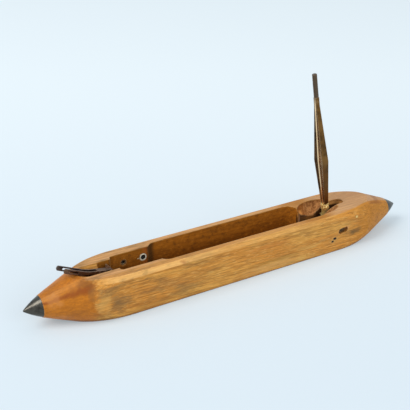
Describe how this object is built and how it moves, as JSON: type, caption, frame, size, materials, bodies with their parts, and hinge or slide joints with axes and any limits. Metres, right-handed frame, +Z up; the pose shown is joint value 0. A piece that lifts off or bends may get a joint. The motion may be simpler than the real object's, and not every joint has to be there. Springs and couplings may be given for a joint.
{
  "type": "loom shuttle",
  "caption": "Hardwood power-loom shuttle with steel cone tips, a hinged split spindle raised from its cavity, a porcelain yarn eye and a hinged yarn fork.",
  "frame": {"origin": "centre of the flat race face that the shuttle slides on, at the bottom middle of the bounding box", "axes": "+X along the body, towards the tip at the spindle hinge; +Y out of the back face, which holds the yarn eyes; +Z up out of the cavity"},
  "size_m": [0.406, 0.0518, 0.1765],
  "materials": {
    "beech": "oiled, worn",
    "dark_steel": "dark, polished by use",
    "browned_steel": "browned, oily",
    "brass": "dull",
    "porcelain": "glazed"
  },
  "bodies": {
    "shuttle": {"shuttle_body": "beech", "tip_eye_end": "dark_steel", "tip_hinge_end": "dark_steel", "porcelain_eye": "porcelain", "steel_eyelet": "dark_steel", "pivot_pin": "dark_steel", "brass_nail": "brass", "spindle_spring": "dark_steel", "spring_bolt": "dark_steel", "spring_nut": "dark_steel", "fork_bracket": "dark_steel", "bracket_screws": "dark_steel", "fork_spring": "dark_steel", "fork_pin": "dark_steel"},
    "spindle": {"spindle_hub": "brass", "hub_bush": "dark_steel", "hub_ferrule": "brass", "hub_rivet": "brass", "spindle_blade": "browned_steel", "leaf_rivet": "browned_steel"},
    "near_leaf": {"leaf_near": "browned_steel"},
    "far_leaf": {"leaf_far": "browned_steel"},
    "fork": {"fork_barrel": "dark_steel", "prong_near": "browned_steel", "prong_far": "browned_steel", "fork_rivets": "dark_steel"}
  },
  "joints": [
    {"name": "spindle_hinge", "type": "hinge", "parent": "shuttle", "child": "spindle", "pos_m": [0.114, 0, 0.0213], "axis": [0, 1, 0], "range_deg": [-80.8, 0]},
    {"name": "near_leaf_squeeze", "type": "hinge", "parent": "spindle", "child": "near_leaf", "pos_m": [0.09325, -0.00132, 0.14943], "axis": [0.9871, 0, 0.1599], "range_deg": [0, 0.7], "stiffness_Nm_per_rad": 20},
    {"name": "far_leaf_squeeze", "type": "hinge", "parent": "spindle", "child": "far_leaf", "pos_m": [0.09325, 0.00132, 0.14943], "axis": [-0.9871, 0, -0.1599], "range_deg": [0, 0.7], "stiffness_Nm_per_rad": 20},
    {"name": "fork_hinge", "type": "hinge", "parent": "shuttle", "child": "fork", "pos_m": [-0.122, 0, 0.031], "axis": [0, 1, 0], "range_deg": [0, 164]}
  ]
}
